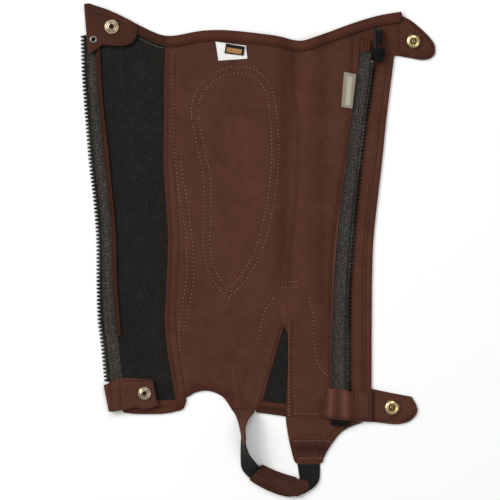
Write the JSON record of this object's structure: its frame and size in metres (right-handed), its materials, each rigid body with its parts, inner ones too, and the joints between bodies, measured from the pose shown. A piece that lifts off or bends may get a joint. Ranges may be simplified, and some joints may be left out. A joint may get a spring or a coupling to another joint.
{
  "type": "half chap",
  "caption": "Zip-up riding half chap in brown suede with a stretch panel, tabs with snaps and a stirrup strap, opened out and laid flat, inside face up",
  "frame": {"origin": "centre of the footprint on the surface the chap lies on", "axes": "+Y up the leg towards the top edge, +X from the stretch panel towards the zip pull, +Z off the surface towards the viewer"},
  "size_m": [0.3898, 0.542, 0.02],
  "materials": {
    "suede_leather": "matte brown suede, short nap",
    "hem_leather": "matte reddish brown leather",
    "stretch_knit": "matte black ribbed elastic",
    "zip_tape": "charcoal woven tape",
    "zip_teeth": "satin black moulded plastic",
    "zip_metal": "glossy black enamel",
    "snap_brass": "polished pale brass",
    "white_weave": "white woven satin ribbon",
    "black_weave": "black woven ribbon with a plain orange stripe",
    "grey_weave": "grey woven ribbon, plain"
  },
  "bodies": {
    "chap": {"main_panel": "suede_leather", "zip_guard": "suede_leather", "strap_yoke": "suede_leather", "strap_tongue": "suede_leather", "strap_sleeve": "suede_leather", "top_left_tab": "suede_leather", "bottom_left_tab": "suede_leather", "top_right_tab": "suede_leather", "bottom_right_tab": "suede_leather", "zip_garage": "suede_leather", "zip_top_patch": "suede_leather", "right_facing": "suede_leather", "top_band": "hem_leather", "elastic_hem": "hem_leather", "gusset_hem": "hem_leather", "left_piping": "hem_leather", "elastic_panel": "stretch_knit", "gusset": "stretch_knit", "stirrup_strap": "stretch_knit", "left_zip_tape": "zip_tape", "right_zip_tape": "zip_tape", "left_zip_chain": "zip_teeth", "right_zip_chain": "zip_teeth", "zip_box": "zip_teeth", "zip_slider": "zip_metal", "snap_top_left": "snap_brass", "snap_bottom_left": "snap_brass", "snap_top_right": "snap_brass", "snap_bottom_right": "snap_brass", "eyelet": "snap_brass", "care_label": "white_weave", "size_label": "black_weave", "side_label": "grey_weave"},
    "pull_tab": {"pull_tab": "zip_metal"}
  },
  "joints": [
    {"name": "pull_hinge", "type": "hinge", "parent": "chap", "child": "pull_tab", "pos_m": [0.13262, 0.21986, 0.0083], "axis": [1, 0, 0], "range_deg": [0, 165]}
  ]
}
